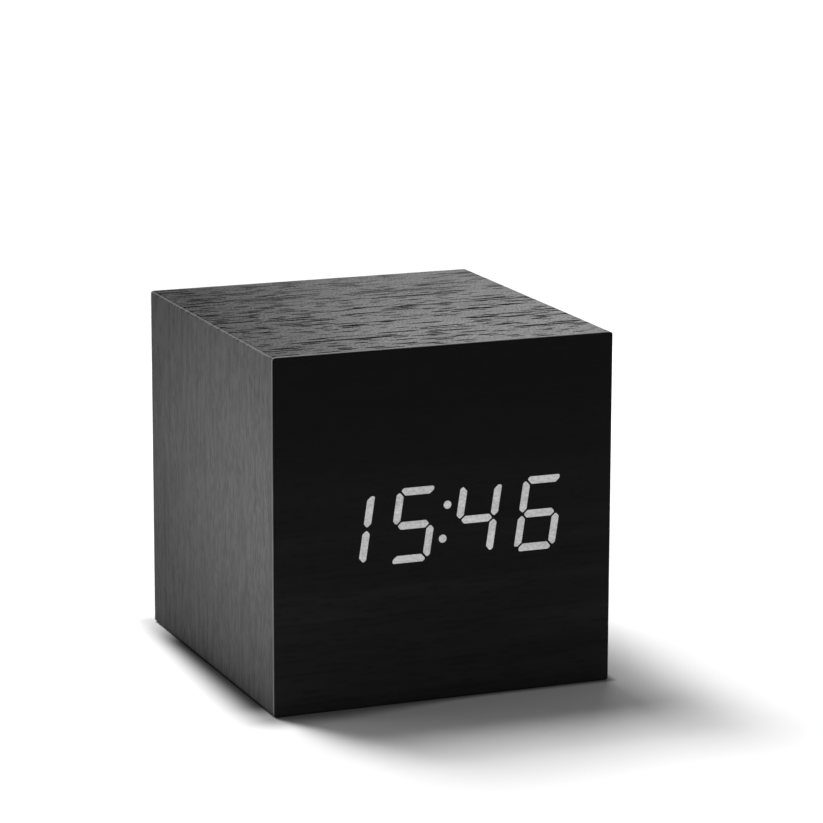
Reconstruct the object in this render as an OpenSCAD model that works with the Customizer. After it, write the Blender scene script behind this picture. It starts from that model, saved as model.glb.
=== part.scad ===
// Cube-shaped digital alarm clock: a veneered fibreboard case with a seven-segment
// display behind the front veneer, a rear cover with three buttons and a power
// socket, and a hinged battery door underneath. Millimetres, +Z up, front towards -Y,
// origin in the middle of the underside.

/* [Case] */
// Width of the case
case_w = 68; // [66:0.5:90]
// Depth of the case, front veneer to rear veneer
case_d = 71; // [68:0.5:90]
// Height of the case
case_h = 68; // [66:0.5:90]
// Thickness of the wood veneer
veneer_t = 0.6; // [0.4:0.1:1]
// Thickness of the four sleeve boards and of the front board
board_t = 4; // [3.5:0.5:5]
// Thickness of the rear board
rear_board_t = 6; // [5:0.5:8]
// Rounding of the four long edges of the sleeve
edge_r = 0.8; // [0.5:0.1:1.2]
// Rounding of the edges around the front and rear faces
face_edge_r = 0.4; // [0.2:0.1:0.6]

/* [Display] */
// First digit of the hour
hour_tens = 1; // [0:1:2]
// Second digit of the hour
hour_units = 5; // [0:1:9]
// First digit of the minutes
minute_tens = 4; // [0:1:5]
// Second digit of the minutes
minute_units = 6; // [0:1:9]
// Distance from one digit to the next
digit_pitch = 12.75; // [12:0.05:13.2]
// Height of a digit
digit_h = 14.3; // [13:0.1:16]
// Width of a digit before it is slanted
digit_w = 8.4; // [8:0.1:9]
// Width of one segment
segment_w = 1.45; // [1.2:0.05:1.8]
// Lean of the digits to the right, in degrees
digit_lean = 8.4; // [0:0.1:12]
// Diameter of the colon's dots
dot_d = 1.55; // [1:0.05:2]
// Height of the display's middle above the middle of the case
display_rise = 0.35; // [0:0.05:2]
// Depth of the display housing
housing_t = 8; // [7:0.5:9]

/* [Rear controls] */
// Width of the rear cover
cover_w = 48; // [46:0.5:50]
// Height of the rear cover
cover_h = 40; // [38:0.5:42]
// Thickness of the rear cover
cover_t = 2; // [1.6:0.1:2.4]
// Depth of the rear cover below the rear face
cover_recess = 1; // [0.9:0.1:1.4]
// Height of the rear cover's middle above the middle of the case
cover_rise = 4; // [3.5:0.5:5]
// Diameter of a button's cap
button_d = 6.4; // [5:0.1:7]
// Distance between buttons
button_pitch = 12; // [11:0.1:12.5]
// Travel of a button
button_travel = 0.5; // [0.3:0.05:0.6]
// Bore of the power socket
socket_bore_d = 3.6; // [3.4:0.1:4]

/* [Batteries] */
// Diameter of a cell
cell_d = 10.5; // [10:0.1:10.8]
// Length of a cell with its terminal
cell_l = 44.5; // [43:0.1:45]
// Room between a cell and its contact plate that the spring fills
spring_l = 3.2; // [3:0.1:4.5]
// Thickness of the battery door
door_t = 2; // [1.8:0.1:2.4]
// Depth of the battery door below the underside
door_recess = 0.4; // [0.3:0.1:0.8]

/* [Hidden] */
$fn = 64;

// Clearances
slip = 0.2;                            // between pieces that are put in place by hand
run = 0.05;                            // radial, round a screw or a hinge pin
seat = 0.1;                            // between a moving piece and the face that stops it

// How far a cut runs past the faces that it opens, and how far joined shapes sink into each other
past = 1;
sink = 0.01;

// Depths along Y, front to rear
front_y = -case_d / 2;
rear_y = case_d / 2;
front_board_y = front_y + veneer_t;
front_board_rear_y = front_board_y + board_t;
rear_board_rear_y = rear_y - veneer_t;
rear_board_y = rear_board_rear_y - rear_board_t;

// Room inside the sleeve
inner_w = case_w - 2 * (veneer_t + board_t);

// Display
digit_count = 4;
housing_trim = 0.9;                    // the housing is this much narrower than four digit pitches
housing_w = digit_count * digit_pitch - housing_trim;
housing_margin = 2.25;
housing_h = digit_h + 2 * housing_margin;
housing_rear_y = front_board_y + housing_t;
display_z = case_h / 2 + display_rise;
bar_x = (digit_w - segment_w) / 2;     // middle of the upright segments
bar_z = (digit_h - segment_w) / 2;     // middle of the top and bottom segments
half_w = segment_w / 2;
level_gap = 0.3;                       // tip of a level segment to the corner it points at
upright_gap = 0.24;                    // tip of an upright segment to the corner it points at
corner_cut = 1.27;                     // cut across the two blunt corners of a digit
point_cut = 0.75;                      // cut across the points at the two sharp corners of a digit
tip_r = 0.3;                           // rounding of the segments' corners
arc_steps = 3;
segment_depth = 5;                     // depth of the clear filling behind the veneer
pcb_t = 1.6;
display_board_margin = 5;              // reach of the display's board above and below its housing
display_board_w = housing_w;
display_board_h = housing_h + 2 * display_board_margin;
display_board_rear_y = housing_rear_y + pcb_t;
led_room = 0.25;                       // between a diode and the sides of its segment
led_size = [2, 0.8, segment_w - 2 * led_room];
pin_pitch = 2.54;
pin_count = 6;
pin_r = 0.3;
pin_l = 1.8;
SEGMENT_NAMES = ["a", "b", "c", "d", "e", "f", "g"];
LIT = ["abcdef", "bc", "abdeg", "abcdg", "bcfg", "acdfg", "acdefg", "abc", "abcdefg", "abcdfg"];
SHOWN = [hour_tens, hour_units, minute_tens, minute_units];

// Small screws of the display and of the main board
small_screw_r = 0.9;
small_head_r = 1.9;
small_head_t = 1.4;
screw_bite = 3;
spacer_r = 2.2;
spacer_l = housing_t - board_t;
display_screw_inset = 3.2;
display_screw_x = display_board_w / 2 - display_screw_inset;
display_screw_z = housing_h / 2 + display_board_margin / 2;
slot_w = 0.4;                          // arms of the cross recess in a screw's head
slot_deep = 0.6;
slot_share = 0.62;                     // reach of the arms as a share of the head's radius

// Rear cover
cover_r = 3;
ledge_w = 4;                           // ledge of the rear board that the cover rests on
cover_rear_y = rear_y - cover_recess;
cover_y = cover_rear_y - cover_t;
opening_w = cover_w - 2 * ledge_w;
opening_h = cover_h - 2 * ledge_w;
opening_r = 2.5;
flush_head_r = 1.8;                    // countersunk screws of the cover and the battery tray
flush_screw_r = 0.9;
cover_z = case_h / 2 + cover_rise;
cover_screw_l = cover_t + screw_bite;
cover_screw_inset = 2.5;
cover_screw_x = cover_w / 2 - cover_screw_inset;
cover_screw_z = cover_h / 2 - cover_screw_inset;

// Buttons and their switches
button_lip_w = 1;
button_lip_r = button_d / 2 + button_lip_w;
button_lip_t = 0.8;
button_shy = 0.3;                      // button's face to the clock's rear face
button_proud = cover_recess - button_shy;
button_edge_r = 0.5;
button_stem_r = 1.5;
button_stem_l = 0.6;
button_z = 6;
mark_t = 0.15;
mark_r = 1.5;
mark_line = 0.5;
switch_w = 6;
switch_t = 3.5;
plunger_r = 1.7;
plunger_l = 1.5;
plunger_hidden = 0.6;
BUTTON_X = [button_pitch, 0, -button_pitch];

// Main board, carried on posts of the rear cover
button_lip_y = cover_y - seat - button_lip_t;
button_foot_y = button_lip_y - button_stem_l;
board_rear_y = button_foot_y - plunger_l - switch_t;
board_y = board_rear_y - pcb_t;
board_room = 0.5;                      // board's edge to the opening that it goes in through
board_w = opening_w - 2 * board_room;
board_h = opening_h - 2 * board_room;
board_r = 1.5;
post_r = 2.3;
post_inset = 3;
post_x = board_w / 2 - post_inset;
post_z = board_h / 2 - post_inset;
post_bite = 4;
post_screw_l = pcb_t + post_bite;

// Power socket, buzzer, microphone and sensor on the rear side of the main board
lower_row_z = -7;
socket_x = -board_w / 4;
socket_wall = 1.1;
socket_collar_r = socket_bore_d / 2 + socket_wall;
socket_foot = 0.9;                     // reach of the square foot past the collar
socket_w = 2 * (socket_collar_r + socket_foot);
socket_pin_r = 0.65;
socket_pin_shy = 1;
socket_floor = 1.3;
buzzer_shift = 0.75;                   // buzzer's place, off the middle of its half of the board
buzzer_x = board_w / 4 - buzzer_shift;
buzzer_r = 6;
buzzer_t = 5.2;
buzzer_hole_r = 1;
sound_hole_r = 0.7;
sound_ring_r = 3.2;
sound_ring_holes = 6;
microphone_x = -1.6;
microphone_r = 2.25;
microphone_t = 2.7;
microphone_hole_r = 0.6;
sensor_z = -12.5;
sensor_r = 1.1;
sensor_rise = 2.4;
sensor_leg_r = 0.25;

// Parts on the front side of the main board
chip_size = [10.3, 2.3, 7.5];
chip_at = [8, -1];
chip_leg = [0.5, 0.5, 1.2];
chip_leg_pitch = 1.27;
chip_legs = 8;
crystal_r = 1;
crystal_l = 6;
crystal_at = [-4, 2];
capacitor_r = 2.5;
capacitor_l = 7;
capacitor_at = [-13, 5];
chip_part_size = [1.6, 0.6, 0.8];
chip_part_pitch = 3;
chip_part_rows = [-3.2, -5.6];
chip_part_count = 4;
chip_part_x = -14;
connector_size = [14, 5.5, 6];
ribbon_w = 12.7;
ribbon_t = 0.9;
ribbon_bend_r = 5;
ribbon_rise = 10.5;                    // ribbon's upper end above the middle of the cover
ribbon_top_z = cover_z + ribbon_rise;
lead_connector_size = [6, 5, 4];
lead_connector_drop = 11.5;            // below the middle of the cover
lead_connector_z = cover_z - lead_connector_drop;
lead_d = 1.2;
lead_gap = 2.4;

// Battery tray and door, from the underside up
cell_count = 3;
cell_gap = 0.6;                        // between neighbouring cells
cell_pitch = cell_d + cell_gap;
cell_r = cell_d / 2;
nub_r = 1.9;
nub_l = 1.2;
plate_t = 0.4;
cell_side_gap = 0.45;                  // outer cells to the tray's walls
tray_inner_w = cell_l + spring_l + 2 * plate_t;
tray_inner_d = (cell_count - 1) * cell_pitch + cell_d + 2 * cell_side_gap;
tray_wall = 1.5;
tray_w = tray_inner_w + 2 * tray_wall;
tray_d = tray_inner_d + 2 * tray_wall;
tray_roof_t = 1.6;
door_gap = 0.4;                        // door to cells
door_top_z = door_recess + door_t;
flange_top_z = door_top_z + slip;
cell_z = door_top_z + door_gap + cell_r;
tray_ceiling_z = cell_z + cell_r + door_gap;
tray_top_z = tray_ceiling_z + tray_roof_t;
door_rest = 0.8;                       // width of the tray wall that the door covers
door_hole_w = tray_inner_w + 2 * door_rest;
door_hole_d = tray_inner_d + 2 * door_rest;
door_w = door_hole_w - 2 * slip;
door_d = door_hole_d - 2 * slip;
hinge_r = door_t / 2;
hinge_y = -door_d / 2 + hinge_r;
hinge_z = door_recess + hinge_r;
hinge_pin_r = 0.6;
hinge_pin_l = 1;
flange_end = 1.7;                      // reach of the flange past the tray's ends and long sides
flange_side = 5;
flange_w = tray_w + 2 * flange_end;
flange_d = tray_d + 2 * flange_side;
flange_r = 3;
tray_screw_inset = 6;
tray_screw_x = flange_w / 2 - tray_screw_inset;
tray_screw_y = tray_d / 2 + flange_side / 2;
tray_screw_shy = 0.4;                  // screw's tip to the upper face of the bottom board
tray_screw_l = veneer_t + board_t - tray_screw_shy - door_recess;
rib_t = 0.5;
rib_drop = 4.2;
rib_inset = 6;
grip_count = 5;
grip_pitch = 1.6;
grip_w = 12;
grip_groove = 0.35;
grip_inset = 10;
grip_y = door_d / 2 - grip_inset;
finger_w = 12;
finger_d = 2;
finger_r = 1.9;
finger_deep = 1.2;
tongue_w = 14;
tongue_l = 6;
tongue_slot = 0.6;
plate_w = 8;
plate_h = 9;
tab_w = 2;
tab_rise = 1.5;
spring_wire_d = 0.6;
spring_turns = 3;
spring_big_r = 3.3;
spring_small_r = 2.2;
spring_steps = 16;
spring_sides = 6;

// Routes of the two battery leads, from the tray's tabs to their connector. A lead's first bend is given
// by X, Y and its height above the tabs, and its second by X and its distance in front of the connector
lead_end_y = board_y - lead_connector_size[1];
lead_start_z = tray_top_z + tab_rise;
lead_stub = 2.2;                       // straight ends of a lead
plate_mid_x = tray_inner_w / 2 - plate_t / 2;
positive_first_bend = [18, 13, 6];
positive_second_bend = [8, 5];
negative_first_bend = [-20, 0, 5];
negative_second_bend = [-9, 6];
POSITIVE_ROUTE = lead_route(1, positive_first_bend, positive_second_bend);
NEGATIVE_ROUTE = lead_route(-1, negative_first_bend, negative_second_bend);
function lead_route(side, first, second) = [
    [side * plate_mid_x, side * cell_pitch, lead_start_z],
    [side * plate_mid_x, side * cell_pitch, lead_start_z + lead_stub],
    [first[0], first[1], lead_start_z + first[2]],
    [second[0], lead_end_y - second[1], lead_connector_z],
    [side * lead_gap / 2, lead_end_y - lead_stub, lead_connector_z],
    [side * lead_gap / 2, lead_end_y, lead_connector_z]
];
route_steps = 5;
lead_sides = 8;

// Shapes that repeat

// Box between two corners
module block(low, high) {
    translate(low) cube(high - low);
}

// Flat rectangle with round corners, centred
module rounded_rect(w, h, r) {
    square([w - 2 * r, h], center = true);
    square([w, h - 2 * r], center = true);
    for (sx = [-1, 1], sy = [-1, 1])
        translate([sx * (w / 2 - r), sy * (h / 2 - r)]) circle(r);
}

// Outline in X and Z, given depth from y0 to y1
module slab_y(y0, y1) {
    translate([0, y1, 0]) rotate([90, 0, 0]) linear_extrude(y1 - y0) children();
}

// Round bar along Y, at x and z
module rod_y(r, y0, y1, x = 0, z = 0) {
    translate([x, y1, z]) rotate([90, 0, 0]) cylinder(r = r, h = y1 - y0);
}

// Round bar along X, at y and z
module rod_x(r, x0, x1, y = 0, z = 0) {
    translate([x0, y, z]) rotate([0, 90, 0]) cylinder(r = r, h = x1 - x0);
}

// Countersunk screw along +Z, its head's face at 0
module flush_screw(l) {
    head_t = flush_head_r - flush_screw_r;
    difference() {
        union() {
            cylinder(r1 = flush_head_r, r2 = flush_screw_r, h = head_t);
            cylinder(r = flush_screw_r, h = l);
        }
        cross_slot(flush_head_r);
    }
}

// Hole for a countersunk screw along +Z, its mouth at 0
module flush_hole(l) {
    head_t = flush_head_r - flush_screw_r;
    r_top = flush_screw_r + run;
    r_mouth = flush_head_r + run;
    translate([0, 0, -past]) cylinder(r = r_mouth, h = past);
    cylinder(r1 = r_mouth, r2 = r_top, h = head_t);
    translate([0, 0, -past]) cylinder(r = r_top, h = l + past);
}

// Pan-head screw along +Z, its head below 0
module pan_screw(l) {
    difference() {
        union() {
            translate([0, 0, -small_head_t]) cylinder(r = small_head_r, h = small_head_t);
            cylinder(r = small_screw_r, h = l);
        }
        translate([0, 0, -small_head_t]) cross_slot(small_head_r);
    }
}

// Cross recess in a screw's head
module cross_slot(head_r) {
    reach = head_r * slot_share;
    for (turn = [0, 90]) rotate(turn)
        translate([-reach, -slot_w / 2, -past]) cube([2 * reach, slot_w, slot_deep + past]);
}

// Whole outer form of the case, with its rounded edges
module case_form() {
    intersection() {
        slab_y(front_y, rear_y)
            translate([0, case_h / 2]) rounded_rect(case_w, case_h, edge_r);
        linear_extrude(case_h) rounded_rect(case_w, case_d, face_edge_r);
        translate([-case_w / 2, 0, case_h / 2]) rotate([0, 90, 0])
            linear_extrude(case_w) rounded_rect(case_h, case_d, face_edge_r);
    }
}

// Places four children in the corners of a rectangle in X and Z
module corners_xz(x, z) {
    for (sx = [-1, 1], sz = [-1, 1]) translate([sx * x, 0, sz * z]) children();
}

// Points of a flat outline with each corner rounded
function round_corner(before, at, after) =
    let (
        to_before = (before - at) / norm(before - at),
        to_after = (after - at) / norm(after - at),
        half = acos(max(-1, min(1, to_before * to_after))) / 2,
        middle = (to_before + to_after) / norm(to_before + to_after),
        centre = at + middle * tip_r / sin(half),
        start = at + to_before * tip_r / tan(half) - centre,
        turn = 180 - 2 * half,
        side = cross(to_before, to_after) > 0 ? -1 : 1
    )
    [for (i = [0:arc_steps])
        let (a = side * turn * i / arc_steps)
        centre + [start[0] * cos(a) - start[1] * sin(a), start[0] * sin(a) + start[1] * cos(a)]];

function rounded(points) =
    let (n = len(points))
    [for (i = [0:n - 1])
        each round_corner(points[(i + n - 1) % n], points[i], points[(i + 1) % n])];

// Leans a digit's points to the right, and turns them round the digit's middle
function lean(points) = [for (p = points) [p[0] + p[1] * tan(digit_lean), p[1]]];
function half_turn(points) = [for (p = points) -p];

// Outlines of a digit's segments before they lean: a is the top one, and then clockwise
blunt_line = bar_x + bar_z + segment_w - corner_cut;   // z - x along the cut corner
function cut_point(mitre) = [(mitre - blunt_line) / 2, (mitre + blunt_line) / 2];

TOP_SEGMENT = [
    [-(bar_x - half_w - level_gap), bar_z - half_w],
    [bar_x - half_w - level_gap, bar_z - half_w],
    [bar_x + half_w - level_gap - point_cut, bar_z + half_w - point_cut],
    [bar_x + half_w - level_gap - point_cut, bar_z + half_w],
    [-(bar_x + half_w - corner_cut), bar_z + half_w],
    cut_point(bar_z - bar_x + level_gap)
];
UPPER_RIGHT_SEGMENT = [
    [bar_x, upright_gap],
    [bar_x + half_w, upright_gap + half_w],
    [bar_x + half_w, bar_z + half_w - upright_gap - point_cut],
    [bar_x + half_w - point_cut, bar_z + half_w - upright_gap - point_cut],
    [bar_x - half_w, bar_z - half_w - upright_gap],
    [bar_x - half_w, upright_gap + half_w]
];
UPPER_LEFT_SEGMENT = [
    [-bar_x, upright_gap],
    [-(bar_x - half_w), upright_gap + half_w],
    [-(bar_x - half_w), bar_z - half_w - upright_gap],
    cut_point(bar_z - bar_x - upright_gap),
    [-(bar_x + half_w), bar_z + half_w - corner_cut],
    [-(bar_x + half_w), upright_gap + half_w]
];
MIDDLE_SEGMENT = [
    [-(bar_x - level_gap), 0],
    [-(bar_x - level_gap - half_w), -half_w],
    [bar_x - level_gap - half_w, -half_w],
    [bar_x - level_gap, 0],
    [bar_x - level_gap - half_w, half_w],
    [-(bar_x - level_gap - half_w), half_w]
];
function segment_outline(name) =
    name == "a" ? TOP_SEGMENT :
    name == "b" ? UPPER_RIGHT_SEGMENT :
    name == "c" ? half_turn(UPPER_LEFT_SEGMENT) :
    name == "d" ? half_turn(TOP_SEGMENT) :
    name == "e" ? half_turn(UPPER_RIGHT_SEGMENT) :
    name == "f" ? UPPER_LEFT_SEGMENT : MIDDLE_SEGMENT;
function is_lit(name, digit) = len(search(name, LIT[digit])) > 0;
function digit_x(place) = (place - (digit_count - 1) / 2) * digit_pitch;

// The chosen segments of all digits as prisms from y0 to y1
module segments(y0, y1, lit) {
    for (place = [0:digit_count - 1], name = SEGMENT_NAMES)
        if (is_lit(name, SHOWN[place]) == lit)
            translate([digit_x(place), 0, display_z])
                slab_y(y0, y1) polygon(rounded(lean(segment_outline(name))));
}

// The colon's two dots from y0 to y1
module colon(y0, y1) {
    for (side = [-1, 1])
        rod_y(dot_d / 2, y0, y1, side * bar_z / 2 * tan(digit_lean), display_z + side * bar_z / 2);
}

// Smooth curve through a route's points, straight at both ends
function between(a, b, c, d, t) =
    0.5 * (2 * b + (c - a) * t + (2 * a - 5 * b + 4 * c - d) * t * t
        + (3 * b - a - 3 * c + d) * t * t * t);
function smooth_route(p) =
    let (n = len(p))
    concat(
        [p[0]],
        [for (i = [1:n - 3], k = [0:route_steps - 1])
            between(p[i - 1], p[i], p[i + 1], p[i + 2], k / route_steps)],
        [p[n - 2], p[n - 1]]
    );

// Tube with flat ends along a line of points; first_side points across its start
function unit(v) = v / norm(v);
function line_way(p, i) = unit(p[min(i + 1, len(p) - 1)] - p[max(i - 1, 0)]);
function carried(side, way) = unit(side - way * (side * way));
function side_at(p, i, first_side) =
    carried(i == 0 ? first_side : side_at(p, i - 1, first_side), line_way(p, i));
module tube(p, r, sides, first_side) {
    n = len(p);
    rings = [for (i = [0:n - 1])
        let (way = line_way(p, i), u = side_at(p, i, first_side), v = cross(way, u))
        for (k = [0:sides - 1])
            p[i] + r * (u * cos(360 * k / sides) + v * sin(360 * k / sides))];
    walls = [for (i = [0:n - 2], k = [0:sides - 1])
        let (a = i * sides + k, b = i * sides + (k + 1) % sides)
        each [[a, a + sides, b], [b, a + sides, b + sides]]];
    start = [[for (k = [0:sides - 1]) k]];
    finish = [[for (k = [sides - 1:-1:0]) (n - 1) * sides + k]];
    polyhedron(rings, concat(walls, start, finish));
}

// Case

// Veneer folded round the top, the sides and the underside, open for the battery tray
module veneer_wrap() {
    color("#2b2a29") difference() {
        intersection() {
            case_form();
            block([-case_w, front_board_y, -past], [case_w, rear_board_rear_y, case_h + past]);
        }
        block([-case_w / 2 + veneer_t, front_y, veneer_t],
              [case_w / 2 - veneer_t, rear_y, case_h - veneer_t]);
        tray_recess();
    }
}

// Front veneer, with a window for each lit segment
module front_veneer() {
    color("#0d0d0d") difference() {
        intersection() {
            case_form();
            block([-case_w, front_y - past, -past], [case_w, front_board_y, case_h + past]);
        }
        segments(front_y - past, front_board_y + past, true);
        colon(front_y - past, front_board_y + past);
    }
}

// Rear veneer, cut out round the rear cover
module rear_veneer() {
    color("#1d1c1c") difference() {
        intersection() {
            case_form();
            block([-case_w, rear_board_rear_y, -past], [case_w, rear_y + past, case_h + past]);
        }
        cover_recess_cut();
    }
}

// One mitred board of the sleeve, lying as the top one
module sleeve_board(outer_w) {
    slab_y(front_board_y, rear_board_rear_y) polygon([
        [-outer_w / 2, 0], [outer_w / 2, 0],
        [outer_w / 2 - board_t, -board_t], [-outer_w / 2 + board_t, -board_t]
    ]);
}

module top_board() {
    color("#2b2622") translate([0, 0, case_h - veneer_t]) sleeve_board(case_w - 2 * veneer_t);
}

module left_board() {
    color("#2b2622") translate([-case_w / 2 + veneer_t, 0, case_h / 2])
        rotate([0, -90, 0]) sleeve_board(case_h - 2 * veneer_t);
}

module right_board() {
    color("#2b2622") translate([case_w / 2 - veneer_t, 0, case_h / 2])
        rotate([0, 90, 0]) sleeve_board(case_h - 2 * veneer_t);
}

// Bottom board, with a stepped opening for the battery tray
module bottom_board() {
    color("#2b2622") difference() {
        translate([0, 0, veneer_t]) rotate([0, 180, 0]) sleeve_board(case_w - 2 * veneer_t);
        tray_recess();
        block([-tray_w / 2 - slip, -tray_d / 2 - slip, -past],
              [tray_w / 2 + slip, tray_d / 2 + slip, case_h / 2]);
        tray_screw_places() cylinder(r = flush_screw_r + run, h = tray_screw_l + run);
    }
}

// Front board, glued into the sleeve, with a window for the display housing
module front_board() {
    color("#2b2622") difference() {
        block([-inner_w / 2, front_board_y, veneer_t + board_t],
              [inner_w / 2, front_board_rear_y, case_h - veneer_t - board_t]);
        block([-housing_w / 2 - slip, front_y, display_z - housing_h / 2 - slip],
              [housing_w / 2 + slip, 0, display_z + housing_h / 2 + slip]);
        translate([0, 0, display_z]) corners_xz(display_screw_x, display_screw_z)
            rod_y(small_screw_r + run, front_board_rear_y - screw_bite - run, 0);
    }
}

// Rear board, glued into the sleeve, with a stepped opening for the rear cover
module rear_board() {
    color("#2b2622") difference() {
        block([-inner_w / 2, rear_board_y, veneer_t + board_t],
              [inner_w / 2, rear_board_rear_y, case_h - veneer_t - board_t]);
        cover_recess_cut();
        translate([0, 0, cover_z]) slab_y(0, rear_y) rounded_rect(opening_w, opening_h, opening_r);
        cover_screw_places() cylinder(r = flush_screw_r + run, h = cover_screw_l + run);
    }
}

// Recess in the rear that the cover drops into
module cover_recess_cut() {
    translate([0, 0, cover_z]) slab_y(cover_y, rear_y + past)
        rounded_rect(cover_w + 2 * slip, cover_h + 2 * slip, cover_r + slip);
}

// Recess in the underside that the tray's flange drops into
module tray_recess() {
    translate([0, 0, -past]) linear_extrude(flange_top_z + past)
        rounded_rect(flange_w + 2 * slip, flange_d + 2 * slip, flange_r + slip);
}

// Display

module display_housing() {
    color("#e6e6e0") difference() {
        block([-housing_w / 2, front_board_y, display_z - housing_h / 2],
              [housing_w / 2, housing_rear_y, display_z + housing_h / 2]);
        for (lit = [true, false]) segments(front_y, housing_rear_y + past, lit);
        colon(front_y, housing_rear_y + past);
    }
}

module lit_segments() {
    color("#d8d8d8") {
        segments(front_y, front_board_y + segment_depth, true);
        colon(front_y, front_board_y + segment_depth);
    }
}

module unlit_segments() {
    color("#9a9a9a") segments(front_board_y, front_board_y + segment_depth, false);
}

// One light-emitting diode under each segment and each dot
module led_chips() {
    color("#f2e6a0") {
        for (place = [0:digit_count - 1]) translate([digit_x(place), 0, display_z]) {
            for (z = [-1, 0, 1]) led(z * bar_z * tan(digit_lean), z * bar_z, 0);
            for (x = [-1, 1], z = [-1, 1])
                led(x * bar_x + z * bar_z / 2 * tan(digit_lean), z * bar_z / 2, 90);
        }
        for (z = [-1, 1])
            translate([z * bar_z / 2 * tan(digit_lean), housing_rear_y, display_z + z * bar_z / 2])
                rotate([90, 0, 0]) cylinder(r = dot_d / 2 - slip, h = led_size[1]);
    }
}

module led(x, z, turn) {
    translate([x, housing_rear_y - led_size[1], z]) rotate([0, turn, 0])
        translate([-led_size[0] / 2, 0, -led_size[2] / 2]) cube(led_size);
}

module display_board() {
    color("#1f5e3a") difference() {
        block([-display_board_w / 2, housing_rear_y, display_z - display_board_h / 2],
              [display_board_w / 2, display_board_rear_y, display_z + display_board_h / 2]);
        translate([0, 0, display_z]) corners_xz(display_screw_x, display_screw_z)
            rod_y(small_screw_r + slip, front_y, 0);
    }
}

// Soldered ends of the display's pins behind its board
module display_pins() {
    color("silver") for (i = [0:pin_count - 1], side = [-1, 1])
        rod_y(pin_r, display_board_rear_y, display_board_rear_y + pin_l,
              (i - (pin_count - 1) / 2) * pin_pitch, display_z + side * (bar_z + half_w));
}

module display_spacers() {
    color("#d9d4c6") translate([0, 0, display_z]) corners_xz(display_screw_x, display_screw_z)
        difference() {
            rod_y(spacer_r, front_board_rear_y, housing_rear_y);
            rod_y(small_screw_r + slip, front_y, 0);
        }
}

module display_screws() {
    color("silver") translate([0, display_board_rear_y, display_z])
        corners_xz(display_screw_x, display_screw_z)
            rotate([90, 0, 0]) pan_screw(pcb_t + spacer_l + screw_bite);
}

module display_connector() {
    color("#efe9d8") block(
        [-connector_size[0] / 2, display_board_rear_y, display_z - connector_size[2] / 2],
        [connector_size[0] / 2, display_board_rear_y + connector_size[1],
         display_z + connector_size[2] / 2]);
}

// Flat cable from the display to the main board: out, up round two bends, and out again
module ribbon_cable() {
    start_y = display_board_rear_y + connector_size[1];
    end_y = board_y - connector_size[1];
    up_y = (start_y + end_y) / 2;
    half_t = ribbon_t / 2;
    color("#b9b9b9") translate([-ribbon_w / 2, 0, 0]) rotate([90, 0, 90]) linear_extrude(ribbon_w) {
        translate([start_y, display_z - half_t]) square([up_y - ribbon_bend_r - start_y, ribbon_t]);
        translate([up_y - ribbon_bend_r, display_z + ribbon_bend_r]) ribbon_bend(1, -1);
        translate([up_y - half_t, display_z + ribbon_bend_r])
            square([ribbon_t, ribbon_top_z - display_z - 2 * ribbon_bend_r]);
        translate([up_y + ribbon_bend_r, ribbon_top_z - ribbon_bend_r]) ribbon_bend(-1, 1);
        translate([up_y + ribbon_bend_r, ribbon_top_z - half_t])
            square([end_y - up_y - ribbon_bend_r, ribbon_t]);
    }
}

// Quarter of a ring, in the quadrant that sx and sy point to
module ribbon_bend(sx, sy) {
    reach = ribbon_bend_r + ribbon_t;
    intersection() {
        difference() {
            circle(ribbon_bend_r + ribbon_t / 2);
            circle(ribbon_bend_r - ribbon_t / 2);
        }
        translate([sx > 0 ? 0 : -reach, sy > 0 ? 0 : -reach]) square(reach);
    }
}

// Rear cover and buttons

// Places a child along -Y at each of the cover's screws, from the cover's rear face
module cover_screw_places() {
    translate([0, cover_rear_y, cover_z]) corners_xz(cover_screw_x, cover_screw_z)
        rotate([90, 0, 0]) children();
}

module rear_cover() {
    color("#1a1a1b") difference() {
        union() {
            translate([0, 0, cover_z]) slab_y(cover_y, cover_rear_y)
                rounded_rect(cover_w, cover_h, cover_r);
            translate([0, 0, cover_z]) corners_xz(post_x, post_z) rod_y(post_r, board_rear_y, cover_y);
        }
        cover_screw_places() flush_hole(cover_t + past);
        translate([0, 0, cover_z]) {
            for (x = BUTTON_X) cover_hole(button_d / 2 + slip, x, button_z);
            cover_hole(socket_collar_r + slip, socket_x, lower_row_z);
            cover_hole(microphone_hole_r, microphone_x, lower_row_z);
            cover_hole(sound_hole_r, buzzer_x, lower_row_z);
            for (i = [0:sound_ring_holes - 1])
                let (turn = 360 * i / sound_ring_holes)
                    cover_hole(sound_hole_r, buzzer_x + sound_ring_r * cos(turn),
                               lower_row_z + sound_ring_r * sin(turn));
            corners_xz(post_x, post_z)
                rod_y(small_screw_r + run, board_rear_y - past, board_rear_y + post_bite + run);
        }
    }
}

// Round hole through the cover's plate
module cover_hole(r, x, z) {
    rod_y(r, cover_y - past, rear_y, x, z);
}

module rear_cover_screws() {
    color("silver") cover_screw_places() flush_screw(cover_screw_l);
}

// A button's cap, lip and stem, along +Z from its foot
module button_body() {
    lip_z = button_stem_l;
    neck_z = lip_z + button_lip_t;
    top_z = neck_z + seat + cover_t + button_proud;
    cap_r = button_d / 2;
    rotate_extrude() {
        square([button_stem_r, neck_z]);
        translate([0, lip_z]) square([button_lip_r, button_lip_t]);
        translate([0, neck_z - sink]) square([cap_r, top_z - button_edge_r - neck_z + sink]);
        square([cap_r - button_edge_r, top_z]);
        translate([cap_r - button_edge_r, top_z - button_edge_r]) circle(button_edge_r);
    }
    translate([0, 0, top_z - sink]) linear_extrude(mark_t + sink) children();
}

module button(place) {
    color("#2a2a2c") translate([BUTTON_X[place], button_foot_y, cover_z + button_z])
        rotate([-90, 0, 0]) rotate(180) button_body() children();
}

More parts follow.
